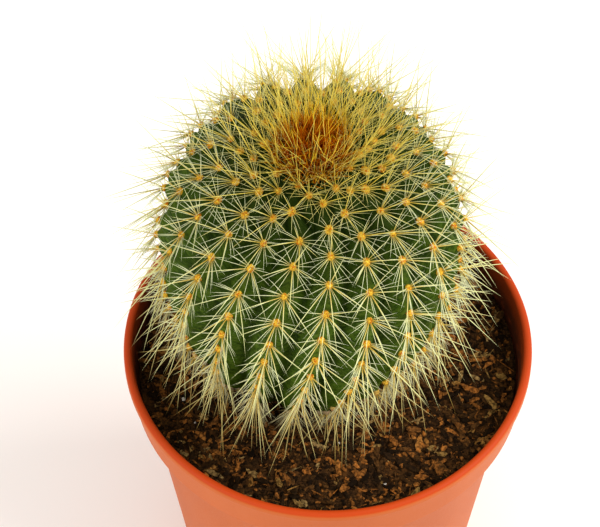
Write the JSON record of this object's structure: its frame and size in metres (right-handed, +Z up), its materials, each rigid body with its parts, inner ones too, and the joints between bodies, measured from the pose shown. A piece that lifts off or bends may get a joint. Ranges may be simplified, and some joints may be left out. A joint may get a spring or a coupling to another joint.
{
  "type": "potted round cactus",
  "caption": "Round ribbed cactus covered in fine spines, growing in soil in a tapered plastic nursery pot with a stepped collar.",
  "frame": {"origin": "centre of the pot's flat underside", "axes": "+Z up along the pot's axis; -Y faces the viewer, and the plant leans a little to +X and to -Y"},
  "size_m": [0.12, 0.12, 0.2179],
  "materials": {
    "terracotta_plastic": "satin",
    "potting_soil": "matte",
    "cactus_flesh_and_needles": "satin",
    "young_bristles": "matte"
  },
  "bodies": {
    "root": {"pot": "terracotta_plastic", "soil": "potting_soil", "cactus": "cactus_flesh_and_needles", "crown_tuft": "young_bristles"}
  },
  "joints": []
}
